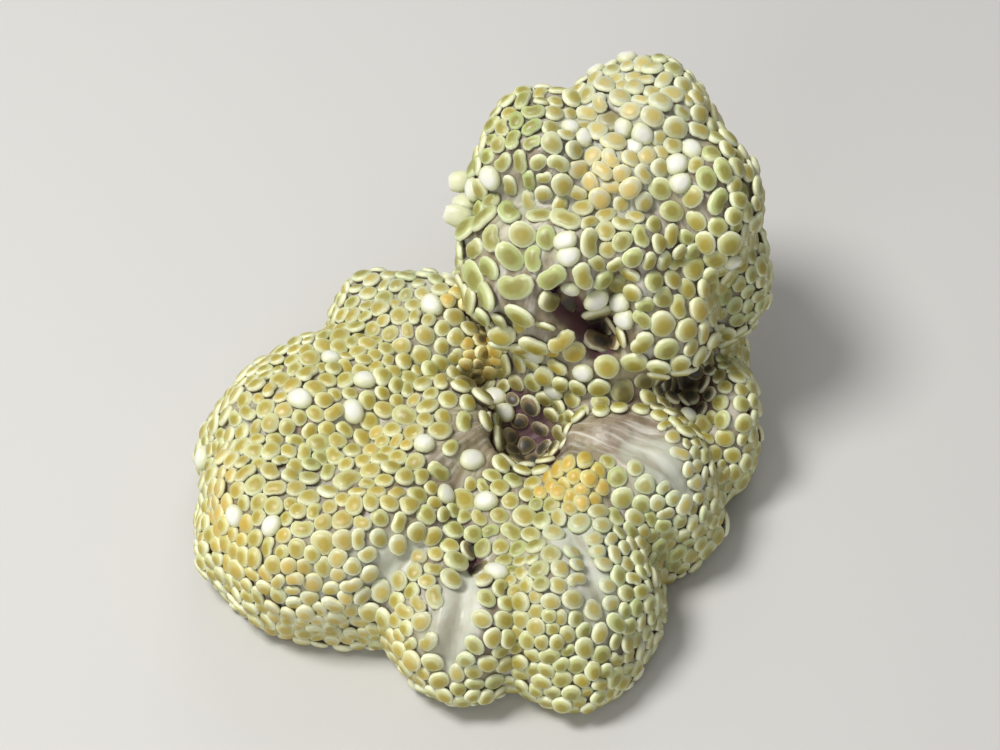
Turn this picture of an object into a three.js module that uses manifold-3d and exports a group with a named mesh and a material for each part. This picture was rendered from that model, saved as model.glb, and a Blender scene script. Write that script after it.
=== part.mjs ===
// A bead-covered sea anemone, life size, resting contracted on a flat bottom.
//
// The animal is a soft sac. Its broad lower column slumps over the foot (the pedal
// disc) in thick folds that stand round a deep central pit, and its upper column rises
// from a short waist behind the pit as a fist of closed bulges.
// Each fold and bulge is a plump egg with a slow swell on it. An egg that comes later in
// the list is cut back by the eggs before it, with a hair of clearance, so that the pieces
// meet along thin seams. Units are millimetres, +Z is up, and -Y is the front.
import * as THREE from "three";
import { mergeVertices } from "three/addons/utils/BufferGeometryUtils.js";
import Module from "manifold-3d";

const wasm = await Module();
wasm.setup();

// ---- driving dimensions -------------------------------------------------------------
const SEAM = 0.3; // clearance between neighbouring pieces
const FOOT_RADIUS = 29; // pedal disc, across the floor
const FOOT_HEIGHT = 3.2;
const FOOT_SCALLOPS = 9; // shallow waves round the foot's edge
const FOOT_SCALLOP_DEPTH = 0.05; // as a share of its radius
const FOOT_STEPS = 36; // facets round the foot
const FOOT_CENTRE = [0, 6]; // x, y of the foot on the floor
const SWELL = 0.055; // height of an egg's slow swell, as a share of its radius
const FACET = 5.2; // edge length of an egg's facets
const PLUMPNESS = 2.6; // how square-shouldered an egg is: 2 would be a plain ellipsoid
const SLUMP = 0.2; // how much of an egg's girth sinks from above its middle to below it
const LEAST_SPLITS = 3; // of each edge of that egg's icosahedron
const ICOSAHEDRON_EDGE = 1.05; // edge of the icosahedron in the unit sphere
const TRIM_SIZE = 400; // the block that trims everything off at the floor

const FLESH = { color: 0xb5a692, roughness: 0.5, metalness: 0 };
const BEADED = { color: 0xc3bc79, roughness: 0.45, metalness: 0 };
const PIT_SKIN = { color: 0x5d4450, roughness: 0.55, metalness: 0 };

// ---- the pieces -----------------------------------------------------------------------
// at: centre.  size: half-lengths along the egg's own x, y and z.  turn: degrees about
// +Z, and tip: degrees about the egg's own x, so that a fold can lean.
// Upper column, from the bulges that press hardest on their neighbours.
const UPPER = [
  { name: "upper_chin", at: [27, 19, 28.5], size: [9, 9, 9], turn: 0, tip: 0 },
  { name: "upper_cheek_left", at: [11, 24, 34], size: [13.5, 12.5, 12.5], turn: 10, tip: 0 },
  { name: "upper_brow", at: [20, 33, 41.5], size: [14, 12, 10.5], turn: 0, tip: -15 },
  { name: "upper_shoulder_left", at: [10.8, 35, 41.6], size: [11.5, 12, 11.4], turn: 0, tip: 0 },
  { name: "upper_top", at: [24, 40.5, 45.5], size: [12.5, 11, 9.5], turn: 0, tip: 0 },
  { name: "upper_cheek_right", at: [30.5, 32.5, 38.5], size: [11, 13, 12.5], turn: 0, tip: 0 },
  { name: "upper_middle", at: [24, 26.5, 34.5], size: [13, 12.5, 12], turn: 0, tip: 0 },
  { name: "upper_back", at: [19, 42.5, 34.5], size: [15.5, 12, 13.5], turn: 0, tip: 0 },
  { name: "upper_back_right", at: [36.5, 31, 24.5], size: [7.7, 10, 9.5], turn: 0, tip: 0 },
];
const WAIST = { name: "waist", at: [17, 23, 20], size: [14.5, 12.5, 12], turn: 0, tip: 0 };
// Lower column: the folds, round the pit from the left front.
const LOWER = [
  { name: "fold_left_front", at: [-20, -7, 9.5], size: [22, 16.2, 13], turn: -12, tip: 0 },
  { name: "fold_right_front", at: [23.5, 1, 9], size: [14.5, 14, 12.5], turn: 0, tip: 0 },
  { name: "fold_front", at: [-2, -19.5, 8], size: [12.5, 13, 10], turn: 0, tip: 0 },
  { name: "fold_front_right", at: [14, -17.5, 8], size: [13.5, 15.5, 11], turn: 0, tip: 0 },
  { name: "fold_left_inner", at: [-8, 4, 8.5], size: [16, 16.5, 13], turn: 0, tip: 0 },
  { name: "fold_left_back", at: [-23, 11, 9.2], size: [19, 16.5, 13.5], turn: 10, tip: 0 },
  { name: "fold_middle", at: [5, -8, 8], size: [13, 13.5, 10], turn: 0, tip: 0 },
  { name: "fold_back_left", at: [-10, 27, 9.5], size: [15.5, 13, 13.5], turn: 0, tip: 0 },
  { name: "fold_right_inner", at: [22, 13, 9], size: [12.5, 12, 11], turn: 0, tip: 0 },
  { name: "fold_right_back", at: [38, 15, 8.4], size: [5, 12, 9], turn: 0, tip: 0 },
  { name: "fold_back", at: [12, 35, 9.5], size: [18, 13, 12.5], turn: 0, tip: 0 },
  { name: "fold_back_right", at: [29, 29, 9], size: [13, 12, 11], turn: 0, tip: 0 },
];
const CORE = { name: "column_core", at: [5, 7, 6.5], size: [24, 24, 8.8], turn: 0, tip: 0 };
// The pit: the room between the folds and the waist, open above and closed by the core.
const PIT = { at: [7.5, 8.5, 22], size: [5.8, 5.8, 13], turn: 0, tip: -10 };

// ---- shaping helpers ------------------------------------------------------------------
// A closed three.js geometry as a solid that can be joined and cut.
function solidFrom(geometry) {
  const bare = geometry.clone();
  for (const extra of ["normal", "uv"]) bare.deleteAttribute(extra);
  const merged = mergeVertices(bare, 1e-4);
  return new wasm.Manifold(
    new wasm.Mesh({
      numProp: 3,
      vertProperties: merged.attributes.position.array,
      triVerts: new Uint32Array(merged.index.array),
    }),
  );
}

// The slow swell of an egg in one direction: smooth, and different on every egg.
function swellAt(direction, seed) {
  const { x, y, z } = direction;
  return (
    Math.sin(3.1 * x + 1.7 * seed) * Math.cos(2.7 * y - seed) +
    0.6 * Math.sin(4.3 * z + 2.3 * x + 0.9 * seed) +
    0.4 * Math.cos(5.9 * y + 3.1 * z - 1.3 * seed)
  );
}

// One egg, grown all round by the given clearance.
function egg({ at, size, turn, tip }, seed, clearance) {
  const splits = Math.max(LEAST_SPLITS, Math.round((ICOSAHEDRON_EDGE * Math.max(...size)) / FACET));
  const shape = new THREE.IcosahedronGeometry(1, splits - 1);
  const place = new THREE.Matrix4().compose(
    new THREE.Vector3(...at),
    new THREE.Quaternion().setFromEuler(
      new THREE.Euler(THREE.MathUtils.degToRad(tip), 0, THREE.MathUtils.degToRad(turn), "ZXY"),
    ),
    new THREE.Vector3(1, 1, 1),
  );
  const half = new THREE.Vector3(...size).addScalar(clearance);
  const point = new THREE.Vector3();
  const position = shape.getAttribute("position");
  for (let i = 0; i < position.count; i += 1) {
    point.fromBufferAttribute(position, i);
    const across = Math.hypot(point.x, point.y);
    const upright = Math.abs(point.z);
    const shoulders = (across ** PLUMPNESS + upright ** PLUMPNESS) ** (-1 / PLUMPNESS);
    const grown = shoulders * (1 + SWELL * swellAt(point, seed));
    const girth = 1 - SLUMP * point.z * (1 - point.z * point.z);
    point.multiply(half).multiplyScalar(grown);
    point.set(point.x * girth, point.y * girth, point.z).applyMatrix4(place);
    position.setXYZ(i, point.x, point.y, point.z);
  }
  return solidFrom(shape);
}

// The foot: a low disc with a scalloped edge that rolls in above and below.
function foot(clearance) {
  const edge = FOOT_RADIUS + clearance;
  const profile = new THREE.Shape();
  profile.moveTo(0, -clearance);
  profile.lineTo(edge - 1, -clearance);
  profile.quadraticCurveTo(edge + 0.6, FOOT_HEIGHT * 0.4, edge - 2.5, FOOT_HEIGHT + clearance);
  profile.lineTo(0, FOOT_HEIGHT + clearance);
  const shape = new THREE.LatheGeometry(profile.getPoints(4), FOOT_STEPS);
  shape.rotateX(Math.PI / 2);
  const position = shape.getAttribute("position");
  for (let i = 0; i < position.count; i += 1) {
    const x = position.getX(i);
    const y = position.getY(i);
    const wave = 1 + FOOT_SCALLOP_DEPTH * Math.cos(FOOT_SCALLOPS * Math.atan2(y, x));
    position.setXYZ(i, x * wave + FOOT_CENTRE[0], y * wave + FOOT_CENTRE[1], position.getZ(i));
  }
  return solidFrom(shape);
}

// The block below the floor.
function belowFloor() {
  const block = new THREE.BoxGeometry(TRIM_SIZE, TRIM_SIZE, TRIM_SIZE);
  block.translate(0, 0, -TRIM_SIZE / 2);
  return solidFrom(block);
}

// A cut can leave crumbs behind a neighbour: the largest body is the piece.
function largestBody(solid) {
  return solid.decompose().sort((a, b) => b.volume() - a.volume())[0];
}

function meshFrom(solid, name, finish) {
  const { vertProperties, triVerts } = solid.getMesh();
  const geometry = new THREE.BufferGeometry();
  geometry.setAttribute("position", new THREE.BufferAttribute(vertProperties, 3));
  geometry.setIndex(new THREE.BufferAttribute(triVerts, 1));
  geometry.computeVertexNormals();
  const mesh = new THREE.Mesh(geometry, new THREE.MeshStandardMaterial(finish));
  mesh.name = name;
  return mesh;
}

// ---- assembly ---------------------------------------------------------------------------
const anemone = new THREE.Group();
const floorBlock = belowFloor();
let taken = foot(SEAM);
anemone.add(meshFrom(foot(0), "pedal_disc", FLESH));

function addPiece(shape, seed, finish) {
  const piece = largestBody(egg(shape, seed, 0).subtract(taken).subtract(floorBlock));
  anemone.add(meshFrom(piece, shape.name, finish));
  taken = taken.add(egg(shape, seed, SEAM));
}
UPPER.forEach((shape, i) => addPiece(shape, i + 1, BEADED));
taken = taken.add(egg(PIT, 0, 0));
LOWER.forEach((shape, i) => addPiece(shape, i + 21, BEADED));
addPiece(WAIST, 41, PIT_SKIN);
addPiece(CORE, 42, PIT_SKIN);

// Stand the model with the middle of its box over the origin.
const box = new THREE.Box3().setFromObject(anemone);
const middle = box.getCenter(new THREE.Vector3());
for (const mesh of anemone.children) mesh.position.set(-middle.x, -middle.y, -box.min.z);

export default anemone;
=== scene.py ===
# %% [markdown]
# # A sea anemone in beads
# A berried sea anemone is a soft sac. By day it pulls itself together: the lower column
# slumps over the foot in fat folds round a dark pit, and the upper column closes like a
# fist behind them. Its whole column is set with flat, bead-like blisters (vesicles).
# This lesson makes it in three layers: one skin in place of all the solids of flesh, the
# beads as mesh laid over that skin, and materials that both layers share.

# %% Load the frame
import math
from itertools import product

import bmesh
import bpy
import numpy as np
from mathutils import Matrix, Vector, noise
from mathutils.bvhtree import BVHTree
from mathutils.kdtree import KDTree


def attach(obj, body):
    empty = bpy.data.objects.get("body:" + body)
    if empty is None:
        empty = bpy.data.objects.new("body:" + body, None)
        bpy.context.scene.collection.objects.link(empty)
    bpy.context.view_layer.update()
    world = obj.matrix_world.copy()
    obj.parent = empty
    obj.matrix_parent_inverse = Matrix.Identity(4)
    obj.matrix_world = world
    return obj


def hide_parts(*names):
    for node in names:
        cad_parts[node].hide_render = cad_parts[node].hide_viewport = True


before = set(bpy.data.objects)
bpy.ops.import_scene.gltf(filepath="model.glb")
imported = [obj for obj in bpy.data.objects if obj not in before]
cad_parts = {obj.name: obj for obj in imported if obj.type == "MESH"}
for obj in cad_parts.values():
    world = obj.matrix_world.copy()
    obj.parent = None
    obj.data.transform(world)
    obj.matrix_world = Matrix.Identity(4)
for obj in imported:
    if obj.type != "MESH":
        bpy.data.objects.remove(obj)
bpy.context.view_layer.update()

MM = 0.001  # the frame is in metres, and this animal is measured in millimetres
SAME_POINT = 1e-6  # metres; nearer than this, two points are one
dice = np.random.default_rng(41)


def in_scene(name, data):
    """A new object in the scene, at the origin."""
    made = bpy.data.objects.new(name, data)
    bpy.context.scene.collection.objects.link(made)
    return made


# %% [markdown]
# ## The camera
# The animal sits on the bottom and is seen from above its front, at 50 degrees, with a
# long lens. The lens is chosen before any shape is judged, because perspective changes
# outlines. The camera is placed by the point it looks at, its angle and its distance.

# %% Camera
IMAGE_WIDTH, IMAGE_HEIGHT = 1000, 750
LENS, SENSOR = 80.0, 36.0
LOOK_AT = Vector((2.5, 3.7, 20.0)) * MM
LOOK_DOWN = math.radians(50)
DISTANCE = 333 * MM

camera_data = bpy.data.cameras.new("camera")
camera_data.lens, camera_data.sensor_width = LENS, SENSOR
camera_data.clip_start, camera_data.clip_end = 0.01, 10
camera = in_scene("camera", camera_data)
bpy.context.scene.camera = camera
backwards = Vector((0, -math.cos(LOOK_DOWN), math.sin(LOOK_DOWN)))
camera.rotation_euler = backwards.to_track_quat("Z", "Y").to_euler()
camera.location = LOOK_AT + backwards * DISTANCE
camera_turn = camera.rotation_euler.to_matrix()


def sight_line(across, down):
    """The direction in which the camera sees a point of its image, given in pixels."""
    half = SENSOR / 2 / LENS
    x = (across / IMAGE_WIDTH * 2 - 1) * half
    y = (1 - down / IMAGE_HEIGHT * 2) * half * IMAGE_HEIGHT / IMAGE_WIDTH
    return (camera_turn @ Vector((x, y, -1))).normalized()


print("camera at", tuple(round(c / MM) for c in camera.location), "mm")

# %% [markdown]
# ## Helpers for meshes
# Shapes start in a bmesh, become a mesh on an object at the origin, and modifiers such as
# Remesh and Smooth finish them. `baked_down` swaps an object's mesh for the one that its
# modifiers make, so that later cells can measure it. Trees find near points and faces fast.


# %% Mesh helpers
def object_from(bm, name):
    """A bmesh as an object at the origin, smooth shaded."""
    mesh = bpy.data.meshes.new(name)
    bm.to_mesh(mesh)
    bm.free()
    mesh.shade_smooth()
    return in_scene(name, mesh)


def baked_down(piece):
    """Applies the piece's modifiers."""
    graph = bpy.context.evaluated_depsgraph_get()
    finished = bpy.data.meshes.new_from_object(piece.evaluated_get(graph))
    before = piece.data
    piece.modifiers.clear()
    piece.data = finished
    bpy.data.meshes.remove(before)
    return piece


def voxelled(piece, voxel, rounding):
    """One closed skin round all that the piece holds, rounded by the given passes."""
    remesh = piece.modifiers.new("voxels", "REMESH")
    remesh.mode, remesh.voxel_size, remesh.use_smooth_shade = "VOXEL", voxel, True
    smooth = piece.modifiers.new("rounding", "SMOOTH")
    smooth.factor, smooth.iterations = 0.5, rounding
    return baked_down(piece)


def read(items, label, width=1, kind=float):
    """One value of each item as an array, or a row of several."""
    out = np.empty(len(items) * width, kind)
    items.foreach_get(label, out)
    return out.reshape(-1, width) if width > 1 else out


def places_and_normals(mesh):
    return read(mesh.vertices, "co", 3), read(mesh.vertex_normals, "vector", 3)


def tree_of_faces(piece):
    """A piece's faces, ready to be asked for the nearest point or a hit."""
    bm = bmesh.new()
    bm.from_mesh(piece.data)
    tree = BVHTree.FromBMesh(bm)
    bm.free()
    return tree


def tree_of_points(points):
    """Points, ready to be asked for the nearest ones."""
    tree = KDTree(len(points))
    for i, point in enumerate(points):
        tree.insert(point, i)
    tree.balance()
    return tree


def eased(value, low, high):
    """0 below low, 1 above high, and an even ramp with soft ends between."""
    share = np.clip((value - low) / (high - low), 0, 1)
    return share * share * (3 - 2 * share)


# %% [markdown]
# ## The skin
# The solids are facetted eggs, cut from one another with a hair of clearance. Flesh has no
# facets and no gaps, and its folds drape into one another in soft valleys, while a few
# real clefts stay deep. Each solid is rounded by itself first, which keeps its girth. Then
# a filler, the whole body smoothed at once and let a little inwards, comes out of the
# valleys only. One last remesh makes a single skin of it all.

# %% Round each solid by itself
FOLD_VOXEL, FOLD_ROUNDING = 0.9 * MM, 14
FILL_VOXEL, FILL_ROUNDING = 1.0 * MM, 30
FILL_GROWTH, FILL_DEPTH = 0.5 * MM, 0.85 * MM
SKIN_VOXEL, SKIN_ROUNDING = 0.5 * MM, 8


def flesh_of(node_names, growth):
    """The named solids' merged copies in one bmesh, each grown outwards."""
    together = bmesh.new()
    for name in node_names:
        one = bmesh.new()
        one.from_mesh(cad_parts[name].data)
        bmesh.ops.remove_doubles(one, verts=one.verts, dist=SAME_POINT)
        one.normal_update()
        for vertex in one.verts:
            vertex.co += vertex.normal * growth
        mesh = bpy.data.meshes.new(name)
        one.to_mesh(mesh)
        one.free()
        together.from_mesh(mesh)
        bpy.data.meshes.remove(mesh)
    return together


node_names = sorted(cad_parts)
folds = [
    voxelled(object_from(flesh_of([name], 0), "fold_" + name), FOLD_VOXEL, FOLD_ROUNDING)
    for name in node_names
]
print(len(folds), "solids rounded,", sum(len(f.data.vertices) for f in folds), "points")

# %% The filler, and one skin over all
filler = object_from(flesh_of(node_names, FILL_GROWTH), "filler")
voxelled(filler, FILL_VOXEL, FILL_ROUNDING)
places, normals = places_and_normals(filler.data)
filler.data.vertices.foreach_set("co", (places - normals * FILL_DEPTH).ravel())

whole = bmesh.new()
for part in [*folds, filler]:
    whole.from_mesh(part.data)
    bpy.data.objects.remove(part)
skin = voxelled(object_from(whole, "skin"), SKIN_VOXEL, SKIN_ROUNDING)


def keep_largest(piece):
    """Drops the small closed shells that a remesh leaves inside a body."""
    bm = bmesh.new()
    bm.from_mesh(piece.data)
    unseen, shells = set(bm.verts), []
    while unseen:
        shell = [unseen.pop()]
        for vertex in shell:  # the list grows while it is walked
            found = {edge.other_vert(vertex) for edge in vertex.link_edges} & unseen
            unseen -= found
            shell.extend(found)
        shells.append(shell)
    shells.sort(key=len)
    for shell in shells[:-1]:
        bmesh.ops.delete(bm, geom=shell, context="VERTS")
    bm.to_mesh(piece.data)
    bm.free()
    return len(shells)


print(keep_largest(skin), "shells,", len(skin.data.vertices), "points on the skin")

# %% [markdown]
# ### Finding a spot on the skin
# Pleats, pearls and patches of colour all have their places. A place is easiest to name by
# the point of the image where it's seen, so a sight line from the camera looks for it. A
# spot just outside the outline takes the skin that its sight line passes nearest to.

# %% From the image to the skin
NEAREST, FARTHEST, STRIDE = 270 * MM, 390 * MM, 1 * MM
skin_tree = tree_of_faces(skin)


def on_skin(across, down):
    """The point of the skin seen at a point of the image, or the one that lies nearest."""
    way = sight_line(across, down)
    hit = skin_tree.ray_cast(camera.location, way)[0]
    if hit is not None:
        return hit
    along = np.arange(NEAREST, FARTHEST, STRIDE)
    passed = [skin_tree.find_nearest(camera.location + way * step) for step in along]
    return min(passed, key=lambda found: found[3])[0]


print("the pit's mouth is at", tuple(round(c / MM) for c in on_skin(505, 440)), "mm")

# %% [markdown]
# ### Lumps, pleats, the coat's depth and the sole
# Living flesh is never an even egg. Slow lumps are laid on along the normals, and drawn-in
# flesh gathers: shallow folds run out from the pit over the apron, and from the crown of
# the fist down its sides. The deeper grooves are drawn between named points, and three
# mounds are raised where small blisters have grown in bunches. The mouth of the pit is
# eased, so that its rim rolls in without an edge. The skin also steps inwards by the depth
# of the coat, so that the beads end where the solids end. None of this is done near the
# floor, where the sole is pressed flat.

# %% Lumps, folds and the sole
COAT_DEPTH = 0.45 * MM  # added to what the rounding has already taken
SWELL_SIZE, SWELL_HEIGHT, SWELL_START = 15 * MM, 1.5 * MM, Vector((3, 9, 4))
LUMP_SIZE, LUMP_HEIGHT = 8 * MM, 0.9 * MM
PIT, CROWN = on_skin(515, 440), on_skin(610, 122)
MOUTH, MOUTH_RADIUS, MOUTH_ROUNDING = np.array(on_skin(496, 436)), 6 * MM, 50
GATHERS, GATHER_LENGTH, GATHER_HEIGHT = 5.5, 11 * MM, 0.55 * MM
FIST_HEIGHT = 23 * MM  # above it the folds gather to the fist's crown
GATHER_FADE, FIST_FADE = 8 * MM, 3 * MM  # no folds close to a centre or to that height
TINT_WIDTH = 1.3  # how far a groove's colours reach, in its half-widths
SOLE_HEIGHT, SOLE_FADE = 0.5 * MM, 4 * MM

# %% Grooves and mounds
# name: (from across, from down, to across, to down, half-width mm, depth mm,
#        milk, bareness, painted shade)
PLEATS = {
    "gap between cheek and chin": (562, 306, 600, 344, 2.3, 4.6, -0.5, 0.7, 0.55),
    "under the left cheek": (476, 322, 556, 340, 1.4, 1.6, 0.0, 0.0, 0.1),
    "beside the chin": (618, 282, 604, 350, 1.3, 1.8, 0.0, 0.2, 0.1),
    "over the chin": (622, 278, 700, 262, 1.5, 1.0, 0.0, 0.2, 0.0),
    "front stripe": (470, 566, 449, 664, 1.8, 1.4, 0.9, 1.5, 0.0),
    "beside the front stripe": (440, 566, 424, 640, 1.0, 0.6, 0.2, 0.3, 0.0),
    "left of the stripe": (418, 548, 368, 596, 1.5, 0.8, 0.6, 0.9, 0.0),
    "under the left crown": (432, 500, 300, 470, 1.6, 0.7, 0.1, 0.2, 0.0),
    "right crown": (634, 450, 692, 488, 1.8, 0.8, 0.8, 1.2, 0.0),
    "front right": (572, 530, 606, 600, 1.8, 0.9, 0.8, 0.9, 0.0),
    "below the ridge": (500, 200, 650, 208, 1.5, 0.9, 0.2, 0.7, 0.0),
    "across the fist": (600, 108, 640, 150, 1.3, 1.8, 0.1, 0.4, 0.25),
    "pit's right wall": (556, 448, 644, 434, 2.6, 1.2, 0.1, 1.5, 0.05),
    "pit's left wall": (448, 470, 500, 440, 2.2, 0.6, 0.1, 1.0, 0.05),
    "bottom of the pit": (514, 408, 532, 442, 2.4, 0.0, -0.5, 0.5, 0.4),
    "shaded hollow": (468, 542, 476, 556, 1.3, 1.8, -0.4, 0.0, 0.5),
    "under the chin": (590, 384, 690, 402, 3.4, 0.2, -0.2, 0.25, 0.2),
    "right cheek's hollow": (670, 206, 700, 222, 2.6, 0.8, -0.3, 0.9, 0.35),
    "behind the right cheek": (733, 148, 743, 192, 1.2, 1.0, -0.3, 0.3, 0.35),
}
# name: (across, down, radius mm, rise mm)
BUNCHES = {
    "by the pit": (572, 486, 5.0, 2.4),
    "under the left cheek": (478, 350, 3.4, 1.4),
    "behind the left cheek": (462, 300, 2.4, 0.8),
}
print(len(PLEATS), "grooves and", len(BUNCHES), "mounds")


# %% Measures of the skin
def neighbour_mean(values, edges, passes):
    """Averages a value over the mesh's edges."""
    count = np.bincount(edges.ravel(), minlength=len(values))
    for _ in range(passes):
        total = np.bincount(edges[:, 0], values[edges[:, 1]], len(values))
        total += np.bincount(edges[:, 1], values[edges[:, 0]], len(values))
        values = (values + total / np.maximum(count, 1)) / 2
    return values


def lump_at(place):
    """Height of the lumps and gathered folds at a place, in metres."""
    slow = noise.noise(place / SWELL_SIZE + SWELL_START) * SWELL_HEIGHT
    slow += noise.noise(place / LUMP_SIZE) * LUMP_HEIGHT
    out = place - (CROWN if place.z > FIST_HEIGHT else PIT)
    way = Vector((out.x, out.y, 0)).normalized() * GATHERS
    way.z = out.length / GATHER_LENGTH
    fade = min(out.length / GATHER_FADE, 1) * min(abs(place.z - FIST_HEIGHT) / FIST_FADE, 1)
    return slow + noise.noise(way) * GATHER_HEIGHT * fade


def beside_line(at, x0, y0, x1, y1, steps=8):
    """How far each place is from a line drawn over the skin between two image points."""
    drawn = [
        np.array(on_skin(x0 + (x1 - x0) * share, y0 + (y1 - y0) * share))
        for share in np.linspace(0, 1, steps)
    ]
    nearest = np.full(len(at), np.inf)
    for start, end in zip(drawn, drawn[1:]):
        line = end - start
        share = ((at - start) @ line / max(line @ line, SAME_POINT**2)).clip(0, 1)
        away = np.linalg.norm(at - start - share[:, None] * line, axis=1)
        nearest = np.minimum(nearest, away)
    return nearest


# %% Lift, ease and press the skin
places, normals = places_and_normals(skin.data)
lifted = np.array([lump_at(Vector(place)) for place in places])
line_tints = np.zeros((len(places), 4))  # warmth, milk, bareness, painted shade
# a groove's last value adds painted shade along it
for *ends, half_width, depth, milk, bare, dark in PLEATS.values():
    beside = beside_line(places, *ends) / (half_width * MM)
    lifted -= np.exp(-beside * beside) * depth * MM
    tinted = np.exp(-((beside / TINT_WIDTH) ** 4))[:, None]
    line_tints += tinted * np.array((0, milk, bare, dark))
bunches = [(on_skin(x, y), radius * MM, rise * MM) for x, y, radius, rise in BUNCHES.values()]
for centre, radius, rise in bunches:
    lifted += np.exp(-((np.linalg.norm(places - centre, axis=1) / radius) ** 4)) * rise
skin_edges = read(skin.data.edges, "vertices", 2, np.int32)
mouth_share = np.exp(-((np.linalg.norm(places - MOUTH, axis=1) / MOUTH_RADIUS) ** 4))
for axis in range(3):
    smoothed = neighbour_mean(places[:, axis], skin_edges, MOUTH_ROUNDING)
    places[:, axis] += (smoothed - places[:, axis]) * mouth_share
away_from_floor = eased(places[:, 2], SOLE_HEIGHT, SOLE_FADE)
places += normals * ((lifted - COAT_DEPTH) * away_from_floor)[:, None]
places[:, 2] = np.where(places[:, 2] < SOLE_HEIGHT, 0, places[:, 2])
skin.data.vertices.foreach_set("co", places.ravel())
skin.data.update()
skin_tree = tree_of_faces(skin)
skin_normals = places_and_normals(skin.data)[1]
print("skin", np.ptp(places, axis=0) / MM, "mm")

# %% [markdown]
# ### How open the skin lies
# Creases and pits are painted darker than the crowns of the folds: painted shade, where less
# light reaches.
# A material can't see that far, so each point of the skin sends out a few rays and
# notes how many get away. Neighbours are then averaged.

# %% Measure openness
RAY_LENGTH, RAYS = 14 * MM, 14
RAY_START = 0.3  # mm off the skin
FAN_DEPTH = 0.9  # the rays stop this far down, short of the horizon at 1
OPENNESS_ROUNDING = 5


def spiral(count):
    """Directions spread evenly over the upper half sphere."""
    turn = math.pi * (3 - math.sqrt(5))
    for i in range(count):
        up = 1 - (i + 0.5) / count * FAN_DEPTH
        side = math.sqrt(1 - up * up)
        yield Vector((side * math.cos(i * turn), side * math.sin(i * turn), up))


fan = list(spiral(RAYS))
openness = np.empty(len(places))
for i, (place, normal) in enumerate(zip(places, skin_normals)):
    up = Vector(normal)
    turn = up.to_track_quat("Z", "Y")
    start = Vector(place) + up * RAY_START * MM
    free = sum(skin_tree.ray_cast(start, turn @ way, RAY_LENGTH)[0] is None for way in fan)
    openness[i] = free / RAYS
openness = neighbour_mean(openness, skin_edges, OPENNESS_ROUNDING)
print("openness from", openness.min().round(2), "to", openness.max().round(2))

# %% [markdown]
# ## Where the colours lie
# The body isn't one colour. Its left rim is warm gold, the right folds are milky and green,
# the top of the fist carries a pale ridge, and the pit is purple brown, which is painted
# shade from the openness measured above. Green is also darker, and on the fist's shoulder,
# cheeks and chin, which face away from the light, low warmth gives painted shade as well as
# a green tone. Skin and beads have to agree, so these tints are fields in space that both
# layers read. Each field is a slow wander plus soft spots. On a bare spot the beads stand
# apart or are missing, and a finer wander of bareness gathers the beads in clumps.

# %% Spots of tint
# name: (across, down, radius mm, warmth, milk, bareness)
SPOTS = {
    "left rim": (225, 500, 12, 0.7, 0.1, -0.2),
    "lower left edge": (300, 610, 11, 0.6, 0.55, -0.3),
    "lowest left edge": (400, 655, 7, 0.5, 0.4, -0.3),
    "lower left crown": (330, 520, 12, -0.05, 0.1, 0.0),
    "left valley": (385, 555, 4.5, -0.2, 0.45, 0.55),
    "left stretch": (318, 488, 3.5, -0.2, 0.6, 0.6),
    "left inner fold": (400, 420, 10, 0.1, 0.1, 0.15),
    "pit mouth": (505, 440, 5, 0.0, -0.3, 0.35),
    "left slope": (482, 448, 6, 0.1, 0.0, 1.25),
    "pit's right wall": (577, 437, 7, 0.2, -0.1, 1.3),
    "further right wall": (628, 436, 5.5, 0.1, 0.0, 1.2),
    "under the gap": (560, 352, 4, 0.9, 0.0, 0.0),
    "below the chin's corner": (612, 338, 4, 0.9, 0.0, 0.0),
    "right crown": (668, 470, 4.5, -0.3, 0.9, 1.0),
    "right fold": (680, 510, 9, -0.25, 0.5, -0.15),
    "front stripe": (458, 625, 4.0, -0.3, 0.9, 1.6),
    "top of the stripe": (468, 585, 3.0, -0.3, 0.8, 0.9),
    "front right crown": (597, 545, 6, -0.6, 0.9, 0.75),
    "front right": (600, 600, 9, -0.7, 0.3, 0.1),
    "front right edge": (645, 640, 8, -0.2, 0.2, -0.2),
    "slope above the pit": (520, 380, 5, 0.2, 0.0, 0.5),
    # on the fist's cheeks, shoulder and chin, low warmth gives a green tone and also painted
    # shade, as these sides face away from the light
    "left cheek": (510, 260, 9, -0.75, 0.05, 0.15),
    "under the shoulder": (515, 200, 5, -0.2, 0.3, 0.6),
    "ridge": (612, 148, 9, 1.0, 1.5, -0.3),
    "under the ridge": (600, 196, 5, 0.9, 0.1, -0.2),
    "crown": (640, 85, 8, -0.6, 0.9, -0.2),
    "shoulder": (515, 140, 8, -0.7, 0.0, 0.1),
    "right cheek": (715, 205, 10, -0.65, 0.0, -0.1),
    "beside the crown": (690, 127, 3.5, 0.0, 0.2, 0.9),
    "chin": (650, 310, 6, -0.4, 0.0, 0.1),
    "back lobe": (400, 275, 9, -1.0, 0.5, 0.4),
    "green lobe": (735, 310, 6, -1.0, 0.2, 0.3),
    "under the chin": (640, 370, 5, 0.2, -0.1, 0.3),
}

# %% Tints of the skin
WANDER_SIZE, WANDER = 14 * MM, (0.6, 0.5, 0.4)
WANDER_START, WANDER_STEP = Vector((0, 5, 2)), Vector((11, 0, 0))  # each tint's own noise
CLUMP_SIZE, CLUMPS = 5 * MM, 0.7

spot_values = np.array(list(SPOTS.values()), float)
spot_places = np.array([on_skin(across, down) for across, down, *_ in SPOTS.values()])


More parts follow.
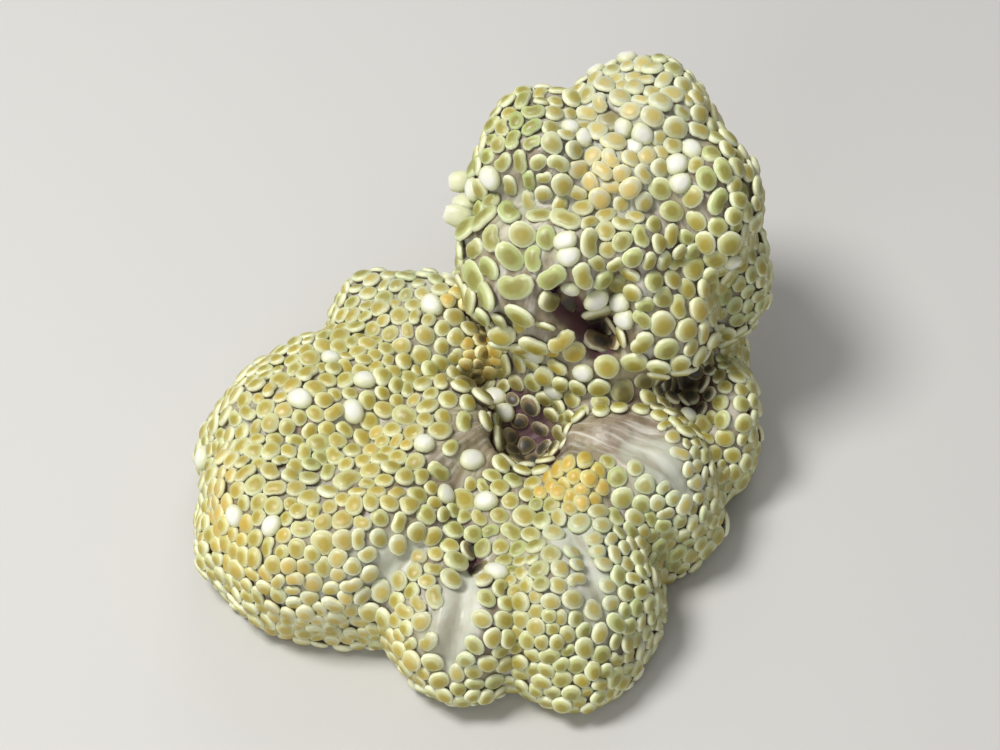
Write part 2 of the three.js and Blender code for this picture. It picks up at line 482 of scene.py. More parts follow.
def tint_fields(at):
    """Warmth, milk and bareness at each place."""
    out = np.zeros((len(at), 3))
    for i, place in enumerate(at):
        slow = Vector(place) / WANDER_SIZE
        for j, height in enumerate(WANDER):
            out[i, j] = noise.noise(slow + WANDER_START + WANDER_STEP * j) * height
        out[i, 2] += noise.noise(Vector(place) / CLUMP_SIZE) * CLUMPS
    for (_, _, radius, *amounts), centre in zip(spot_values, spot_places):
        far = np.linalg.norm(at - centre, axis=1) / (radius * MM)
        out += np.exp(-far * far)[:, None] * np.array(amounts)
    return out


skin_tints = tint_fields(places) + line_tints[:, :3]
# painted shade: the colour darkens where the skin lies closed, and along grooves that carry
# painted shade
shading = (1 - openness + line_tints[:, 3]).clip(0, 1)
print("warmth", skin_tints[:, 0].min().round(2), "to", skin_tints[:, 0].max().round(2))

# %% [markdown]
# ## Where the beads sit
# Beads crowd like cobbles, and their size changes from fold to fold: small and tight on
# the lower folds, large and loose on the fist. Scattering them at random would leave heaps
# and holes. Darts are thrown instead: a dart counts only where no bead is too near for
# both sizes. The white pearls come before the darts, as their places are known. Darts that
# land on one of the three mounds become small orange bubbles. Three beads in ten ride
# higher and take less room, so they lap over their neighbours. Then all but the pearls
# push each other apart a little, each staying on the skin.

# %% Sizes and spacing by fold
# (mean radius in mm, room it takes as a share of that, share of long shapes)
ROOMS = {
    "upper_cheek_left": (2.4, 0.97, 1.0),
    "upper_shoulder_left": (1.7, 0.98, 0.7),
    "upper_chin": (2.0, 0.95, 0.5),
    "upper_middle": (1.65, 0.95, 0.45),
    "upper_brow": (1.7, 0.89, 0.4),
    "upper_top": (1.8, 0.9, 0.4),
    "upper_cheek_right": (1.85, 0.92, 0.45),
    "waist": (1.7, 1.0, 0.25),
    "column_core": (1.55, 1.06, 0.2),
    "fold_left_inner": (1.66, 1.0, 0.25),
    "fold_middle": (1.5, 1.0, 0.25),
    "fold_right_inner": (1.5, 1.08, 0.35),
    "fold_back_left": (1.5, 0.97, 0.3),
    "fold_left_front": (1.66, 0.91, 0.35),
    "fold_right_front": (1.46, 0.89, 0.35),
    "fold_front_right": (1.52, 0.89, 0.3),
}
USUAL_ROOM = (1.57, 0.9, 0.3)
BUBBLE_RADIUS, BUBBLE_ROOM = 1.35, 0.7  # mm, and as above, in a bunch
node_points = [
    (vertex.co, name) for name in node_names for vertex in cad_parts[name].data.vertices
]
node_tree = tree_of_points([point for point, _ in node_points])


def node_at(place):
    """The name of the solid that a place belongs to."""
    return node_points[node_tree.find(place)[1]][1]


print("the mouth of the pit is on", node_at(on_skin(505, 440)))

# %% Where the pearls are
# part of the body: image points of its white pearls
PEARLS = {
    "left crown": ((300, 400), (352, 412), (330, 360), (365, 382)),
    "left rim": ((206, 458), (237, 516), (273, 526)),
    "left slope": ((424, 446), (444, 496), (487, 502), (471, 461)),
    "pit's lip": ((496, 399), (555, 390), (503, 412)),
    "front": ((496, 575),),
    "left cheek": ((567, 242), (569, 255), (571, 286), (595, 298)),
    "ridge": ((570, 130), (582, 139), (626, 128), (641, 134), (634, 148)),
    "end of the ridge": ((676, 166), (680, 183)),
    "shoulder": ((491, 177), (476, 190)),
    "crown": ((597, 73), (611, 66), (627, 61)),
    "right cheek": ((731, 260), (690, 150)),
    "slope under the fist": ((432, 307), (448, 282), (536, 352), (584, 372)),
    "chin": ((622, 303), (627, 318)),
    "right wall": ((687, 417),),
}
NUBS = ((452, 182), (452, 204), (461, 216))  # pearls that stand out beside the fist
PEARL_RADIUS, PEARL_ROOM = (1.5, 2.0), 0.9  # mm, least and greatest; room as above
HIDDEN_PEARLS = 0.045  # share of the beads on the far side that are pearls

# %% Room for a bead
BEAD_FOOT = 1.15 * MM  # no bead's root is nearer the floor than this
TOO_BARE, TOO_CLOSED = 0.85, 0.12  # no beads above this bareness, or below this openness
DARTS = 130000
DART_GAP = 0.7  # darts may land nearer than the beads will end, or holes stay between them
SIZE_SPREAD = 0.12
BARE_ROOM = 0.5  # how much more room a bead takes where the skin is bare
CELL = 4.4 * MM  # beads are filed by cells, so that only near ones are compared
LAP_SHARE, LAP_ROOM = 0.3, 0.84  # share of the beads that lap over others, and their room
LAP_LIFT, LAP = (0.3 * MM, 0.5 * MM), 0.45 * MM  # how high they ride, how far they lap

skin_nearest = tree_of_points(places)
polygons = skin.data.polygons
areas, centres = read(polygons, "area"), read(polygons, "center", 3)
loop_vertices = read(skin.data.loops, "vertex_index", kind=np.int32)
polygon_vertex = loop_vertices[read(polygons, "loop_start", kind=np.int32)]

beads, cells = [], {}


def cell_of(place):
    """The cell that a place lies in."""
    return tuple(int(c // CELL) for c in place)


def has_room(place, reach):
    """True where no bead stands too near for one of the given reach."""
    x, y, z = cell_of(place)
    return all(
        (place - beads[other]["place"]).length > (reach + beads[other]["reach"]) * DART_GAP
        for i, j, k in product((-1, 0, 1), repeat=3)
        for other in cells.get((x + i, y + j, z + k), ())
    )


def set_bead(place, radius, room, kind, node, long_share, lift):
    """Notes a bead, and the cell that it lies in."""
    cells.setdefault(cell_of(place), []).append(len(beads))
    beads.append(
        dict(place=place, radius=radius, reach=radius * room, kind=kind, node=node,
             long=long_share, lift=lift)
    )


# %% Pearls first
placed = [(point, "pearl") for points in PEARLS.values() for point in points]
placed += [(point, "nub") for point in NUBS]
for (across, down), kind in placed:
    spot = on_skin(across, down)
    radius = dice.uniform(*PEARL_RADIUS) * MM
    set_bead(spot, radius, PEARL_ROOM, kind, node_at(spot), 0, LAP_LIFT[0])
pearl_count = len(beads)
print(pearl_count, "pearls")

# %% Then the darts
chosen = dice.choice(len(polygons), DARTS, p=areas / areas.sum())
chosen = chosen[centres[chosen, 2] > BEAD_FOOT]
dart_size = np.exp(dice.normal(0, SIZE_SPREAD, len(chosen)))
laps = dice.random(len(chosen)) < LAP_SHARE
lifts = np.where(laps, dice.uniform(*LAP_LIFT, len(chosen)), 0)
for index, size, lift in zip(chosen, dart_size, lifts):
    place = Vector(centres[index])
    vertex = polygon_vertex[index]
    bare = skin_tints[vertex, 2]
    if bare > TOO_BARE or openness[vertex] < TOO_CLOSED:
        continue
    kind, node = "bead", node_at(place)
    mean, room, long_share = ROOMS.get(node, USUAL_ROOM)
    if any((place - centre).length < radius for centre, radius, _ in bunches):
        kind, size, long_share = "bubble", size**0.5, 0
        mean, room = BUBBLE_RADIUS, BUBBLE_ROOM
    radius = mean * size * MM
    room *= (1 + BARE_ROOM * max(bare, 0)) * (LAP_ROOM if lift else 1)
    if has_room(place, radius * room):
        set_bead(place, radius, room, kind, node, long_share, lift)
print(len(beads), "beads, with", sum(bead["kind"] == "bubble" for bead in beads), "bubbles")

# %% Let them settle
SETTLE_ROUNDS, SETTLE_STEP = 22, 0.3
SETTLE_REACH = 2.4  # how far a bead looks for neighbours, in its own reach
SMALLEST_GAP = 1e-5  # metres
for _ in range(SETTLE_ROUNDS):
    near = tree_of_points([bead["place"] for bead in beads])
    moves = []
    for i, bead in enumerate(beads):
        push = Vector()
        for other_place, j, gap in near.find_range(bead["place"], bead["reach"] * SETTLE_REACH):
            wanted = bead["reach"] + beads[j]["reach"]
            if i != j and gap < wanted:
                away = bead["place"] - other_place
                push += away * ((wanted - gap) / max(gap, SMALLEST_GAP)) * SETTLE_STEP
        moves.append(push)
    for bead, push in zip(beads, moves):
        if bead["kind"] in ("pearl", "nub"):
            continue
        spot = skin_tree.find_nearest(bead["place"] + push)[0]
        if spot.z > BEAD_FOOT and skin_tints[skin_nearest.find(spot)[1], 2] < TOO_BARE:
            bead["place"] = spot

# %% [markdown]
# ## The beads' shapes
# A bead is a flat blister with a pinched root, a full rim and a soft, level crown, so one
# mould serves for all: a disc that is extruded ring by ring. Each bead then gets an outline
# of its own. Most are ovals that lie across the way their neighbours press, some are long,
# some are kidneys, and twins have grown together. Where a neighbour is near, the outline
# stops at the line half-way between the two, as soft things that are pressed together do.

# %% The mould
BEAD_SIDES = 16
# ring by ring from the root: (share of the radius, share of the height, place on the map)
BEAD_RINGS = (
    (0.70, -0.60, 1.55),
    (0.95, -0.10, 1.22),
    (1.00, 0.24, 1.00),
    (0.87, 0.66, 0.86),
    (0.54, 0.93, 0.54),
)


def bead_mould():
    """A disc extruded ring by ring from its root to its crown."""
    bm = bmesh.new()
    across, up, _ = BEAD_RINGS[0]
    bmesh.ops.create_circle(bm, cap_ends=True, segments=BEAD_SIDES, radius=across)
    bmesh.ops.translate(bm, vec=(0, 0, up), verts=bm.verts)
    bm.faces.ensure_lookup_table()
    crown, covered = bm.faces[0], []
    for (before, low, _), (after, high, _) in zip(BEAD_RINGS, BEAD_RINGS[1:]):
        grown = bmesh.ops.extrude_face_region(bm, geom=[crown])["geom"]
        covered.append(crown)
        crown = next(item for item in grown if isinstance(item, bmesh.types.BMFace))
        bmesh.ops.scale(bm, vec=(after / before, after / before, 1), verts=crown.verts)
        bmesh.ops.translate(bm, vec=(0, 0, high - low), verts=crown.verts)
    bmesh.ops.delete(bm, geom=covered[1:], context="FACES_ONLY")
    bmesh.ops.recalc_face_normals(bm, faces=bm.faces)
    return bm


def from_lowest(corners):
    """A face's corners in the same turn, from the lowest on."""
    first = corners.index(min(corners))
    return corners[first:] + corners[:first]


mould = bead_mould()
mould_points = np.array([vertex.co for vertex in mould.verts])
# operators may list faces in another order from run to run, so the order is fixed here
mould_faces = sorted(from_lowest([vertex.index for vertex in f.verts]) for f in mould.faces)
mould_angle = np.arctan2(mould_points[:, 1], mould_points[:, 0])
mould_across = np.hypot(mould_points[:, 0], mould_points[:, 1])
mould_up = mould_points[:, 2]
ring_of = np.array([np.argmin([abs(up - r[1]) for r in BEAD_RINGS]) for up in mould_up])
round_angle = np.arange(BEAD_SIDES) * 2 * math.pi / BEAD_SIDES
on_round = np.round(mould_angle / round_angle[1]).astype(int) % BEAD_SIDES
mould_map = np.array([BEAD_RINGS[r][2] for r in ring_of])
mould.free()
print("one bead:", len(mould_points), "points,", len(mould_faces), "faces")


# %% Outlines
KIDNEY_DENT, KIDNEY_ENDS, TWIN_WAIST = 0.5, 0.06, 0.3  # shares of the radius
DENT_WIDTH, WAIST_WIDTH = 0.55, 0.5  # radians
CLOVER_LOBES, OVAL_LOBES = 0.15, 0.04
# kind: (share of the long shapes, added up; least and greatest stretch; more by long_share)
LONG_SHAPES = {
    "long": (0.35, 1.15, 1.3, 0.15),
    "kidney": (0.65, 1.14, 1.27, 0.15),
    "twin": (0.9, 1.2, 1.34, 0.15),
    "clover": (1.0, 1.0, 1.1, 0),
}
OVAL_STRETCH = (1.03, 1.17)


def bump_at(angle, where, width):
    """A soft bump on a circle, 1 at the angle where."""
    away = (angle - where + math.pi) % (2 * math.pi) - math.pi
    return np.exp(-((away / width) ** 2))


def outline(kind, stretch, bend, angle):
    """Share of the bead's radius in each direction from its middle."""
    oval = 1 / np.sqrt((np.cos(angle) / stretch) ** 2 + (np.sin(angle) * stretch) ** 2)
    if kind == "kidney":
        dent = KIDNEY_DENT * bump_at(angle, math.pi / 2, DENT_WIDTH)
        return oval * (1 - dent + KIDNEY_ENDS * np.cos(2 * angle))
    if kind == "twin":
        waist = sum(bump_at(angle, where, WAIST_WIDTH) for where in (math.pi / 2, -math.pi / 2))
        return oval * (1 - TWIN_WAIST * waist)
    lobes = CLOVER_LOBES if kind == "clover" else OVAL_LOBES
    return oval * (1 + lobes * np.cos(3 * angle + bend))


def choose_shape(long_share):
    """Kind of outline and how far it is stretched."""
    throw = dice.random()
    for kind, (up_to, least, greatest, more) in LONG_SHAPES.items():
        if throw < long_share * up_to:
            return kind, dice.uniform(least, greatest) + long_share * more
    return "oval", dice.uniform(*OVAL_STRETCH)


# %% How beads stand
USUAL_RADIUS, USUAL_HEIGHT = 1.5 * MM, 0.86 * MM
GROWTH = 0.6  # a bead's height grows by this power of its radius, so large ones are flatter
HEIGHTS = {"bead": 1.0, "pearl": 1.2, "bubble": 1.3, "nub": 2.8}  # shares of the usual
HEIGHT_SPREAD = (0.85, 1.18)
CONTACT = -0.2 * MM  # below 0, as pressed beads run a little into one another
CORNERS = 8  # how tight the corner is between a free outline and a pressed one
TURN, TILT = 0.35, math.radians(7)  # how far beads stray from their neighbours' lead
NUB_LIFT = 1.4 * MM  # how far a nub's root stands off the skin
LAP_FOOT = 4 * MM  # beads nearer the floor than this lie flat, lapping nothing
AWAY_FROM_LIGHT = Vector((0.25, -0.75, -0.6)).normalized()  # side away from the light, where the core is painted
REST_REACH, NEIGHBOUR_REACH = 1.1 * MM, 6 * MM
CLOSEST = 1e-4  # metres; a nearer neighbour presses no harder
SIDEWAYS = 0.12  # a neighbour limits only the outline that faces it by more than this
NO_LIMIT = 1.0  # metres
BUBBLE_WARMTH, IN_SIGHT = 1.3, 0.1


def resting_frame(place):
    """The skin's mean normal just round a place, and its nearest point."""
    found = skin_nearest.find_range(place, REST_REACH) or [skin_nearest.find(place)]
    normal = Vector(skin_normals[[index for _, index, _ in found]].mean(0)).normalized()
    return normal, found[0][1]


def freest_way(bead, around, normal):
    """The direction on the skin in which the neighbours press least."""
    east = normal.orthogonal().normalized()
    north = normal.cross(east)
    press = np.zeros((2, 2))
    for other_place, _, gap in around:
        away = other_place - bead["place"]
        flat = np.array([away.dot(east), away.dot(north)])
        press += np.outer(flat, flat) / max(gap, CLOSEST) ** 5
    _, ways = np.linalg.eigh(press)
    return (east * ways[0, 0] + north * ways[1, 0]).normalized()


# %% Lay out every bead
near = tree_of_points([bead["place"] for bead in beads])
for bead in beads:
    bead["lift"] *= bead["place"].z > LAP_FOOT
for i, bead in enumerate(beads):
    normal, skin_index = resting_frame(bead["place"])
    around = [
        found
        for found in near.find_range(bead["place"], NEIGHBOUR_REACH)
        if found[1] != i and found[2] > SAME_POINT
    ]
    along = freest_way(bead, around, normal)
    along = Matrix.Rotation(dice.normal(0, TURN), 3, normal) @ along
    side = normal.cross(along)
    kind, stretch = choose_shape(bead["long"])
    shape = outline(kind, stretch, dice.uniform(0, 6), round_angle) * bead["radius"]
    limit = np.full(len(shape), NO_LIMIT)
    for other_place, j, gap in around:
        away = other_place - bead["place"]
        middle = gap * bead["radius"] / (bead["radius"] + beads[j]["radius"]) - CONTACT / 2
        if bead["lift"] and not beads[j]["lift"]:
            middle += LAP
        facing = np.cos(round_angle - math.atan2(away.dot(side), away.dot(along)))
        stop = middle / np.maximum(facing, SIDEWAYS)
        limit = np.minimum(limit, np.where(facing > SIDEWAYS, stop, NO_LIMIT))
    pressed = shape * limit / (shape**CORNERS + limit**CORNERS) ** (1 / CORNERS)
    bead["outline"] = pressed / 2 + (np.roll(pressed, 1) + np.roll(pressed, -1)) / 4
    lean = Matrix.Rotation(dice.normal(0, TILT), 3, along)
    lean = lean @ Matrix.Rotation(dice.normal(0, TILT), 3, side)
    bead["axes"] = lean @ Matrix((along, side, normal)).transposed()
    # the core will lie towards the side away from the light: painted light
    bead["sinking"] = math.atan2(AWAY_FROM_LIGHT.dot(side), AWAY_FROM_LIGHT.dot(along))
    grown = (np.mean(bead["outline"]) / USUAL_RADIUS) ** GROWTH
    bead["height"] = USUAL_HEIGHT * HEIGHTS[bead["kind"]] * grown * dice.uniform(*HEIGHT_SPREAD)
    lift = NUB_LIFT if bead["kind"] == "nub" else bead["lift"]
    bead["place"] = bead["place"] + normal * lift
    bead["own"] = dice.random()
    bead["pearl"] = float(bead["kind"] in ("pearl", "nub"))
    hidden = normal.dot(backwards) <= IN_SIGHT
    if hidden and bead["kind"] == "bead" and dice.random() < HIDDEN_PEARLS:
        bead["pearl"], bead["height"] = 1.0, bead["height"] * HEIGHTS["pearl"]
    warmth, milk, _ = skin_tints[skin_index]
    bead["warmth"] = warmth + (BUBBLE_WARMTH if bead["kind"] == "bubble" else 0)
    bead["milk"] = milk
    bead["shade"] = shading[skin_index]

# %% [markdown]
# ### One mesh for each part of the body
# Thousands of objects would be slow, so the beads of each part of the body are joined into
# one mesh. Every point carries what the material will need: the bead's warmth, milk,
# shade, pearl and its own number. Two maps go with it. "bead" runs from the middle of the
# crown out to the rim and under it. "OFBake" lays every bead as one small patch where
# its root lies when the body part is spread out flat round its own middle.

# %% Spread the roots out flat
VIEW_BACK = 0.15  # how far behind its middle a part is seen from, as a share of its size
MAP_RADIUS = 0.46
PATCH_SHARE, PATCH_GAP = 0.62, 1.42  # a patch's share of its room, and the gap between two
APART_ROUNDS, NUDGE = 60, 1e-5
PARTS = {
    "upper": ("upper_", "waist"),
    "left": ("fold_left",),
    "front": ("fold_front", "fold_middle", "column_core"),
    "right": ("fold_right",),
    "back": ("fold_back", "pedal_disc"),
}


def flat_places(roots, ways):
    """Roots seen from the middle of their part, laid round its own axis by equal areas."""
    middle = roots.mean(0)
    axis = Vector(ways.mean(0)).normalized()
    across = axis.orthogonal().normalized()
    basis = np.array([across, axis.cross(across), axis])
    back = np.array(axis) * np.ptp(roots, axis=0).mean() * VIEW_BACK
    seen = (roots - middle + back) @ basis.T
    seen /= np.linalg.norm(seen, axis=1)[:, None]
    out = np.sqrt((1 - seen[:, 2]).clip(0)) / math.sqrt(2)
    flat = np.arctan2(seen[:, 1], seen[:, 0])
    reach = MAP_RADIUS * out
    return np.stack([0.5 + reach * np.cos(flat), 0.5 + reach * np.sin(flat)], 1)


def set_apart(spots, patch):
    """Moves patch middles until no two patches of the given width share room."""
    wanted = patch * PATCH_GAP
    for _ in range(APART_ROUNDS):
        tree = tree_of_points([(*spot, 0) for spot in spots])
        moved = spots.copy()
        for i, spot in enumerate(spots):
            for other, j, gap in tree.find_range((*spot, 0), wanted):
                if i != j:
                    away = spot - np.array(other[:2])
                    away += NUDGE * np.array([i - j, j % 7 - i % 7])  # where two are one
                    gap = max(np.linalg.norm(away), SAME_POINT)
                    moved[i] += away / gap * (wanted - gap) * 0.5
        spots = moved.clip(patch, 1 - patch)
    return spots


# %% Join the beads of one part
PATCH_DISC, PATCH_ROOT, ROOT_CORNER = 0.40, 0.07, 0.42  # radii and place on a patch 1 wide
CARRIED = ("warmth", "milk", "shade", "pearl", "own")
rim_ways = np.stack([np.cos(mould_angle), np.sin(mould_angle)], 1)


def carry(mesh, label, values):
    """Gives a mesh one value at each point, for its material to read."""
    layer = mesh.attributes.new(label, "FLOAT", "POINT")
    layer.data.foreach_set("value", values)


def joined_beads(name, group):
    """One mesh of the group's beads, with their maps and values."""
    count, size = len(group), len(mould_points)
    points = np.empty((count, size, 3))
    for i, bead in enumerate(group):
        reach = bead["outline"][on_round] * mould_across
        local = (*(reach * rim_ways.T), mould_up * bead["height"])
        points[i] = (np.array(bead["axes"]) @ local).T + np.array(bead["place"])
    points[:, :, 2] = np.maximum(points[:, :, 2], 0)  # pressed flat by the floor
    mesh = bpy.data.meshes.new(name)
    faces = [[i * size + v for v in face] for i in range(count) for face in mould_faces]
    mesh.from_pydata(points.reshape(-1, 3).tolist(), [], faces)
    mesh.shade_smooth()
    for label in CARRIED:
        carry(mesh, label, np.repeat([bead[label] for bead in group], size))
    corners = read(mesh.loops, "vertex_index", kind=np.int32)
    on_bead = corners % size
    is_root = np.repeat(
        [all(ring_of[v] == 0 for v in face) for face in mould_faces] * count,
        [len(face) for face in mould_faces] * count,
    )
    # each map is turned so that the core lies on the side away from the light, leaving the lit
    # side pale: painted light
    sinking = np.array([bead["sinking"] for bead in group])
    turned = mould_angle[on_bead] - sinking[corners // size]
    disc = np.stack([np.cos(turned), np.sin(turned)], 1) * mould_map[on_bead, None]
    mesh.uv_layers.new(name="bead").uv.foreach_set("vector", disc.astype(np.float32).ravel())
    roots = np.array([bead["place"] for bead in group])
    ways = np.array([bead["axes"].col[2] for bead in group])
    patch = PATCH_SHARE / math.sqrt(count)
    spots = set_apart(flat_places(roots, ways), patch)
    laid = spots[corners // size]
    laid = laid + np.where(
        is_root[:, None],
        (ROOT_CORNER + rim_ways[on_bead] * PATCH_ROOT) * patch,
        rim_ways[on_bead] * (mould_map[on_bead, None] / BEAD_RINGS[0][2] * PATCH_DISC * patch),
    )
    mesh.uv_layers.new(name="OFBake").uv.foreach_set("vector", laid.astype(np.float32).ravel())
    print(name, count, "beads,", len(mesh.polygons), "faces, patch", round(patch, 4),
          "lowest", (points[:, :, 2].min() / MM).round(2), "mm")
    return in_scene(name, mesh)


# %% The coat, and what the skin carries
coats = []
for part, starts in PARTS.items():
    group = [bead for bead in beads if bead["node"].startswith(starts)]
    coats.append(joined_beads("beads_" + part, group))
for label, values in zip(CARRIED, (skin_tints[:, 0], skin_tints[:, 1], shading)):
    carry(skin.data, label, values)

# %% [markdown]
# ## Materials
# Each material is built from small nodes. `Nodes` keeps that short: `feed` sets or links
# one input, and every other method adds one node, feeds it and hands back what comes out.


# %% Node helpers
class Nodes:
    """A shader tree, with short ways to add nodes to it."""

    def __init__(self, tree):
        self.tree = tree

    def feed(self, socket, value):
        """Sets a socket to a number or colour, or links an output to it."""
        if isinstance(value, bpy.types.NodeSocket):
            self.tree.links.new(value, socket)
        elif isinstance(value, tuple) and len(socket.default_value) == 4:
            socket.default_value = (*value, 1)
        else:
            socket.default_value = value

    def add(self, kind, inputs=None, **settings):
        """A new node with its settings made and its inputs fed; hands back its outputs."""
        node = self.tree.nodes.new("ShaderNode" + kind)
        for name, value in settings.items():
            setattr(node, name, value)
        for name, value in (inputs or {}).items():
            self.feed(node.inputs[name], value)
        return node.outputs

    def attribute(self, name):
        return self.add("Attribute", attribute_name=name)["Fac"]

    def place(self):
        return self.add("TexCoord")["Object"]

    def noise(self, scale, detail=2.0, place=None):
        place = self.place() if place is None else place
        return self.add("TexNoise", {"Vector": place, "Scale": scale, "Detail": detail})["Fac"]

    def math(self, operation, *values):
        return self.add("Math", dict(enumerate(values)), operation=operation)[0]

    def vector(self, operation, *values):
        made = self.add("VectorMath", dict(enumerate(values)), operation=operation)
        return made["Value" if operation == "LENGTH" else "Vector"]

    def ramp(self, value, low, high, to_low=0.0, to_high=1.0):
        """A ramp with soft ends: to_low where the value is low, to_high where it is high."""
        names = ("Value", "From Min", "From Max", "To Min", "To Max")
        inputs = dict(zip(names, (value, low, high, to_low, to_high)))
        return self.add("MapRange", inputs, interpolation_type="SMOOTHSTEP")["Result"]

    def blend(self, share, a, b, how="MIX"):
        """Turns colour a by a share into b, or into a multiplied by b."""
        return self.add("Mix", {0: share, 6: a, 7: b}, data_type="RGBA", blend_type=how)[2]

    def group(self, other, **given):
        """Places a group and feeds its inputs by name; hands back its one output."""
        return self.add("Group", given, node_tree=other.tree)[0]


def new_material(name, finish):
    """A material, its nodes and its shader's inputs, with the finish's constants set."""
    made = bpy.data.materials.new(name)
    made.use_nodes = True
    shader = made.node_tree.nodes["Principled BSDF"].inputs
    for label, value in finish.items():
        shader[label].default_value = value
    return made, Nodes(made.node_tree), shader


def new_group(name, inputs, output, output_kind):
    """An empty shader group; each of its inputs is (name, socket type, default)."""
    group = bpy.data.node_groups.new(name, "ShaderNodeTree")
    for label, kind, default in inputs:
        socket = group.interface.new_socket(label, in_out="INPUT", socket_type=kind)
        if default is not None:
            socket.default_value = default
    group.interface.new_socket(output, in_out="OUTPUT", socket_type=output_kind)
    given = group.nodes.new("NodeGroupInput").outputs
    return Nodes(group), given, group.nodes.new("NodeGroupOutput").inputs[output]


# %% [markdown]
# ### Effects that skin and beads share
# Two effects are needed by both materials, and a third twice by the skin, so each is a
# group. "body tint" turns a colour warm or green, milky, or dark as in a crease; the crease
# darkening is painted shade, and the green also darkens, partly as painted shade. "living
# grain" is the small unevenness under a wet surface, given as a normal. "gathers" draws
# the fine lines that run out from the pit and from the fist's crown.

# %% The three groups
NUMBER, COLOUR, PLACE = "NodeSocketFloat", "NodeSocketColor", "NodeSocketVector"
GREY = (0.5, 0.5, 0.5, 1)
# the green shift darkens as well, partly as painted shade; the crease shift is painted shade
WARM_SHIFT, GREEN_AND_SHADE_SHIFT = (1.06, 0.91, 0.55), (0.75, 0.88, 0.66)
MILK, PAINTED_CREASE_SHADE = (0.62, 0.65, 0.54), (0.42, 0.30, 0.30)
WARMEST, GREENEST, MILKY = 1.2, -1.1, (0.1, 1.3, 0, 0.75)  # warmth, warmth, milk
CREASED = (0.42, 0.80)  # the shade where a crease begins, and where it is full
LINE_LENGTH, GRAIN_DEPTH = 160, 0.2 * MM

body_tint, given, out = new_group(
    "body tint",
    [("Colour", COLOUR, GREY), *((name, NUMBER, 0) for name in ("Warmth", "Milk", "Shade"))],
    "Colour", COLOUR,
)
warm_share = body_tint.ramp(given["Warmth"], 0, WARMEST)
tinted = body_tint.blend(warm_share, given["Colour"], WARM_SHIFT, "MULTIPLY")
# below 0, warmth turns the colour green and darker: partly green tone, partly painted shade
green_and_shade_share = body_tint.ramp(given["Warmth"], 0, GREENEST)
tinted = body_tint.blend(green_and_shade_share, tinted, GREEN_AND_SHADE_SHIFT, "MULTIPLY")
tinted = body_tint.blend(body_tint.ramp(given["Milk"], *MILKY), tinted, MILK)
# creases are darkened: painted shade
crease_shade_share = body_tint.ramp(given["Shade"], *CREASED)
tinted = body_tint.blend(crease_shade_share, tinted, PAINTED_CREASE_SHADE, "MULTIPLY")
body_tint.feed(out, tinted)

gathers, given, out = new_group(
    "gathers",
    [("Place", PLACE, None), ("Centre", PLACE, None), ("Fineness", NUMBER, 14.0)],
    "Line", NUMBER,
)
away = gathers.vector("SUBTRACT", given["Place"], given["Centre"])
flat_way = gathers.vector("NORMALIZE", gathers.vector("MULTIPLY", away, (1, 1, 0)))
around = gathers.vector("MULTIPLY", flat_way, given["Fineness"])
outwards = gathers.math("MULTIPLY", gathers.vector("LENGTH", away), LINE_LENGTH)
line_place = gathers.vector("ADD", around, gathers.add("CombineXYZ", {"Z": outwards})[0])
gathers.feed(out, gathers.noise(1.0, 3, line_place))

living_grain, given, out = new_group(
    "living grain",
    [("Scale", NUMBER, 900.0), ("Strength", NUMBER, 0.3), ("Height", NUMBER, 0.5)],
    "Normal", PLACE,
)
grain = living_grain.math("ADD", living_grain.noise(given["Scale"]), given["Height"])
bump = {"Distance": GRAIN_DEPTH, "Strength": given["Strength"], "Height": grain}
living_grain.feed(out, living_grain.add("Bump", bump)["Normal"])
print("shared effects:", *(group.tree.name for group in (body_tint, gathers, living_grain)))

# %% [markdown]
# ### The bead material
# A blister is clear at its edge, where light runs through it and it shows pale green white,
# and fuller of yellow and olive grains towards its middle. So the colour goes by the
# bead's own map: a soft core that sits a little off the middle, a paler body, and a bright
# rim that fades inwards slowly and outwards fast. The paler body and the rim are partly the
# clear wall's own colour and partly painted glow of the light that runs through it. The
# core lies off the middle towards the side that faces away from the light, so the lit side
# is left pale: painted light. Underneath a bead the colour is painted dark, as painted
# shade where little light comes. A pearl has no core: it is opaque white. A bead in a
# crease keeps its pale rim round a middle painted dark as painted shade. Each bead's own
# number, from 0 to 1, makes it differ from the others: where its core lies, how wide that
# is, how warm, milky and light the bead is.

# %% Colours of the beads
# rim and body are partly the clear wall's own pale colour, partly painted glow of light running
# through it
RIM_AND_GLOW, HALO = (0.84, 0.85, 0.62), (0.61, 0.62, 0.30)
OLIVE, YELLOW, GOLD = (0.29, 0.275, 0.062), (0.43, 0.345, 0.05), (0.63, 0.42, 0.065)
# the second colour is painted shade under each bead, a dark line where it meets the skin
SPECK, UNDER_SHADE = (0.42, 0.27, 0.05), (0.11, 0.085, 0.06)
PEARL, PEARL_EDGE = (0.80, 0.80, 0.72), (0.66, 0.67, 0.44)
# the first colour darkens a bead's core in a crease or pit: painted shade
PIT_CORE_SHADE, MILKY_CORE = (0.055, 0.05, 0.035), (0.68, 0.58, 0.24)
DIMMED = (0.72, 0.70, 0.60)
